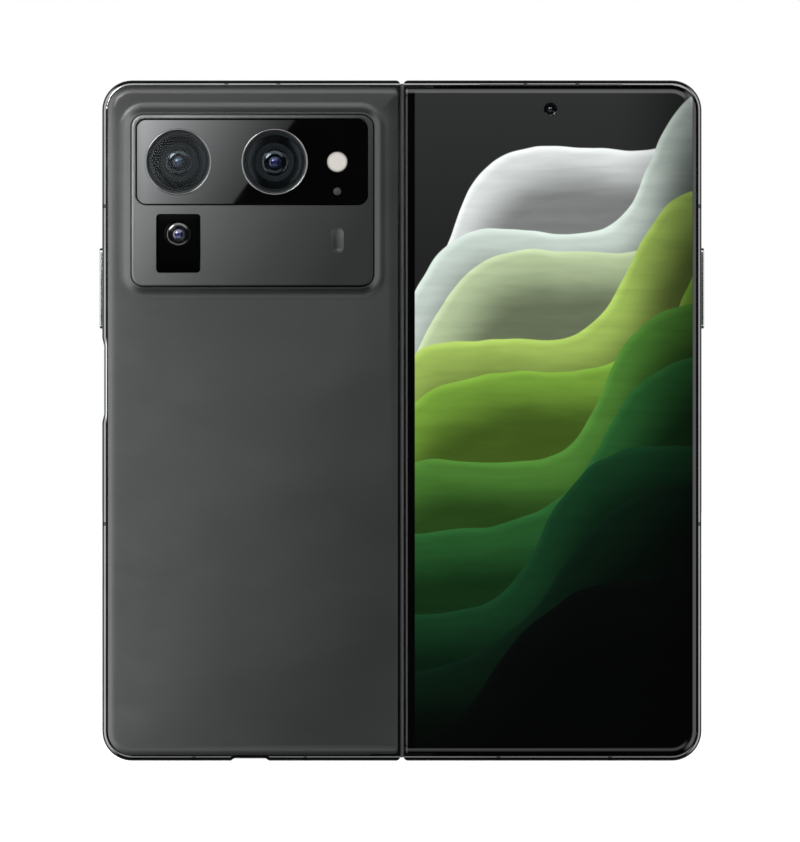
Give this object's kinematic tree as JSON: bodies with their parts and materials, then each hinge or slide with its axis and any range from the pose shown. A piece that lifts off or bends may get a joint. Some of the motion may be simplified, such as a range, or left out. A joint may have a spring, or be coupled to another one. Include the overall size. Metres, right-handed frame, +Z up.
{
  "type": "foldable smartphone",
  "caption": "Book-style folding phone, open flat, with a raised camera deck, side keys, a cover display and a geared hinge under its inner folding display.",
  "frame": {"origin": "on the surface the phone stands on, under the centre of its box, which is the hinge line and the middle of its depth", "axes": "+Z up the phone's height, +X across it towards the cover display, -Y the way the cameras and the cover display look"},
  "size_m": [0.1416, 0.0094, 0.1594],
  "materials": {
    "frame_metal": "polished dark anodised",
    "plastic_breaks": "satin",
    "soft_cover": "fine grain, soft satin",
    "deck_metal": "dark satin anodised",
    "black_glass": "polished",
    "ring_metal": "polished dark anodised",
    "clear_glass": "coated optical glass",
    "black_plastic": "matt",
    "flash_lens": "frosted",
    "sensor_lens": "satin",
    "key_metal": "satin anodised",
    "power_key_metal": "polished",
    "steel": "satin",
    "board": "solder mask",
    "battery": "matt black foil pouch",
    "display": "glossy",
    "bezel": "satin",
    "ribbon": "film",
    "spine_metal": "satin black",
    "brass_gear": "machined"
  },
  "bodies": {
    "rear_half": {"rear_frame": "frame_metal", "rear_antenna_breaks": "plastic_breaks", "rear_cover": "soft_cover", "camera_deck": "deck_metal", "camera_glass": "black_glass", "wide_lens_ring": "ring_metal", "main_lens_ring": "ring_metal", "lens_windows": "clear_glass", "wide_camera": "black_plastic", "main_camera": "black_plastic", "tele_camera": "black_plastic", "wide_lens": "clear_glass", "main_lens": "clear_glass", "tele_lens": "clear_glass", "tele_window": "black_glass", "flash_lens": "flash_lens", "sensor_lens": "sensor_lens", "microphone_grille": "black_plastic", "rear_key_switches": "steel", "charging_port": "steel", "port_tongue": "black_plastic", "sim_reader": "steel", "main_board": "board", "board_shields": "steel", "rear_battery": "battery", "bottom_board": "board", "loudspeaker": "black_plastic", "vibration_motor": "steel", "inner_camera": "black_plastic", "rear_bezel": "bezel", "rear_display": "display", "rear_hinge_arms": "steel", "rear_arm_screws": "steel", "rear_ribbon": "ribbon"},
    "hinge_spine": {"spine_cover": "spine_metal", "hinge_shafts": "steel", "friction_washers": "steel", "hinge_brackets": "steel", "spine_ribbon": "ribbon", "fold_strip": "display"},
    "cover_half": {"cover_frame": "frame_metal", "cover_antenna_breaks": "plastic_breaks", "cover_glass": "black_glass", "cover_panel": "display", "earpiece_grille": "black_plastic", "cover_camera": "black_plastic", "cover_key_switch": "steel", "cover_battery": "battery", "cover_board": "board", "cover_bezel": "bezel", "cover_display": "display", "cover_hinge_arms": "steel", "cover_arm_screws": "steel", "cover_ribbon": "ribbon"},
    "left_idler": {"idler_gears_left": "brass_gear"},
    "right_idler": {"idler_gears_right": "brass_gear"},
    "volume_button": {"volume_key": "key_metal"},
    "power_button": {"power_key": "power_key_metal"},
    "cover_button": {"cover_key": "key_metal"},
    "tray": {"sim_tray": "frame_metal"}
  },
  "joints": [
    {"name": "fold", "type": "hinge", "parent": "rear_half", "child": "hinge_spine", "pos_m": [-0.0032, 0.00165, 0.0797], "axis": [0, 0, 1], "range_deg": [0, 90], "deforming": ["fold_strip"]},
    {"name": "cover_fold", "type": "hinge", "parent": "hinge_spine", "child": "cover_half", "pos_m": [0.0032, 0.00165, 0.0797], "axis": [0, 0, 1], "range_deg": [0, 90], "deforming": ["fold_strip"]},
    {"name": "left_idler_spin", "type": "hinge", "parent": "hinge_spine", "child": "left_idler", "pos_m": [-0.0008, 0.00165, 0.0797], "axis": [0, 0, 1], "range_deg": [0, 180]},
    {"name": "right_idler_spin", "type": "hinge", "parent": "hinge_spine", "child": "right_idler", "pos_m": [0.0008, 0.00165, 0.0797], "axis": [0, 0, 1], "range_deg": [-180, 0]},
    {"name": "volume_press", "type": "slide", "parent": "rear_half", "child": "volume_button", "axis": [1, 0, 0], "range_m": [0, 0.00025], "stiffness_N_per_m": 4000, "springref_m": -0.0001},
    {"name": "power_press", "type": "slide", "parent": "rear_half", "child": "power_button", "axis": [1, 0, 0], "range_m": [0, 0.00025], "stiffness_N_per_m": 4000, "springref_m": -0.0001},
    {"name": "cover_press", "type": "slide", "parent": "cover_half", "child": "cover_button", "axis": [-1, 0, 0], "range_m": [0, 0.00025], "stiffness_N_per_m": 4000, "springref_m": -0.0001},
    {"name": "tray_slide", "type": "slide", "parent": "rear_half", "child": "tray", "axis": [0, 0, 1], "range_m": [0, 0.016]}
  ],
  "couplings": [
    {"joint": "cover_fold", "follows": "fold", "ratio": 1},
    {"joint": "left_idler_spin", "follows": "fold", "ratio": 2},
    {"joint": "right_idler_spin", "follows": "fold", "ratio": -2}
  ]
}
